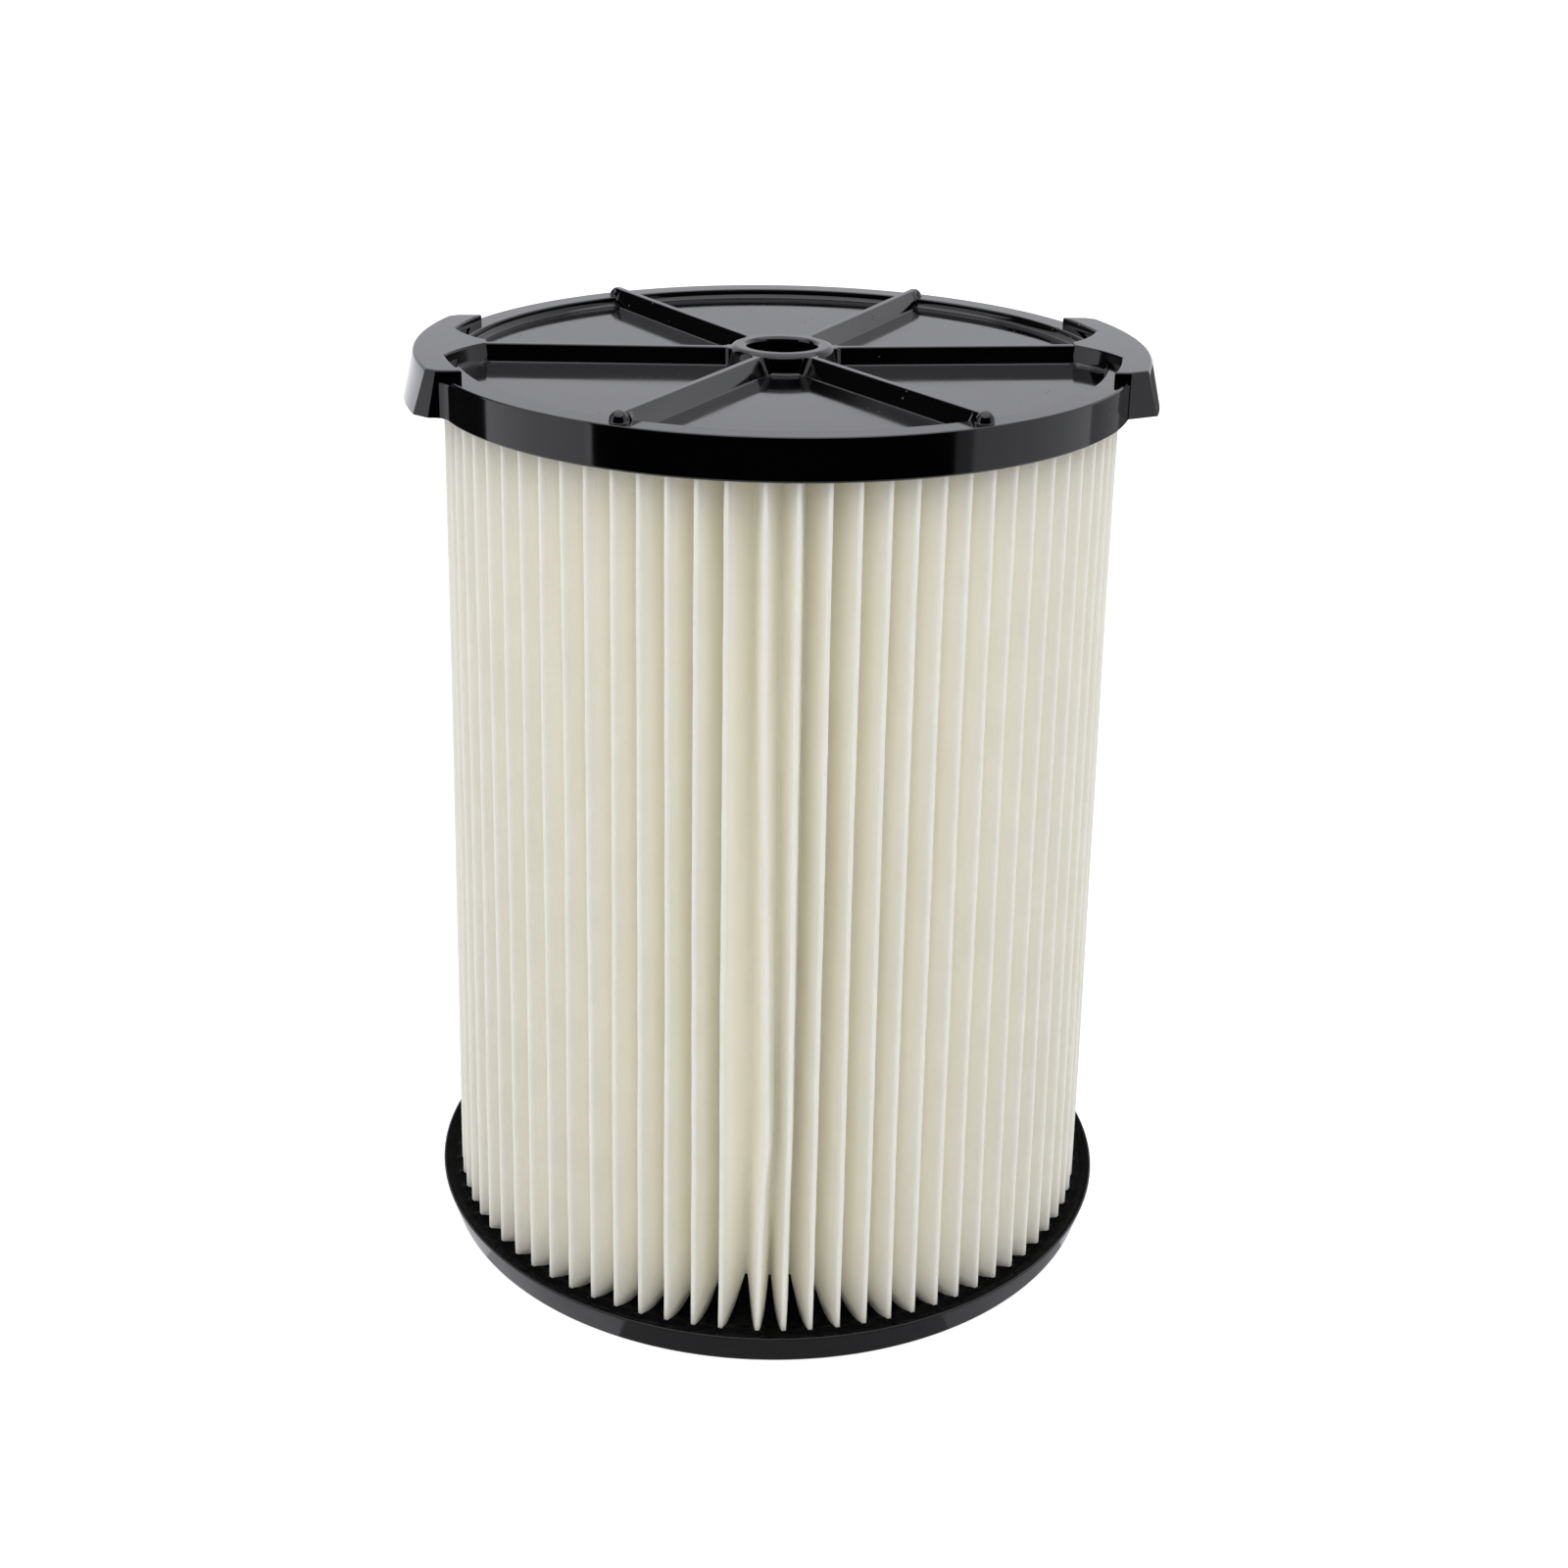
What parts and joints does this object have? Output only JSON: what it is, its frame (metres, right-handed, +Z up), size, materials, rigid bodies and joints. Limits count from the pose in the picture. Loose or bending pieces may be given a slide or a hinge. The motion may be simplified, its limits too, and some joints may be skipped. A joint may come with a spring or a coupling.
{
  "type": "vacuum filter",
  "caption": "Cylindrical cartridge filter: a pack of folded paper round an open inner cage, between a ribbed cap with side grips and a soft foot ring with an open mouth.",
  "frame": {"origin": "centre of the foot ring's underside, where the filter stands", "axes": "+Z up along the filter's axis to the cap, +X towards one of the two side grips"},
  "size_m": [0.1724, 0.1654, 0.2148],
  "materials": {
    "cap_plastic": "glossy moulded black",
    "adhesive": "cast, satin",
    "filter_paper": "cream filter paper, matte",
    "cage_plastic": "moulded, matte black",
    "ring_rubber": "cast, satin black"
  },
  "bodies": {
    "root": {"top_cap": "cap_plastic", "cap_adhesive": "adhesive", "pleated_paper": "filter_paper", "inner_cage": "cage_plastic", "foot_ring": "ring_rubber"}
  },
  "joints": []
}
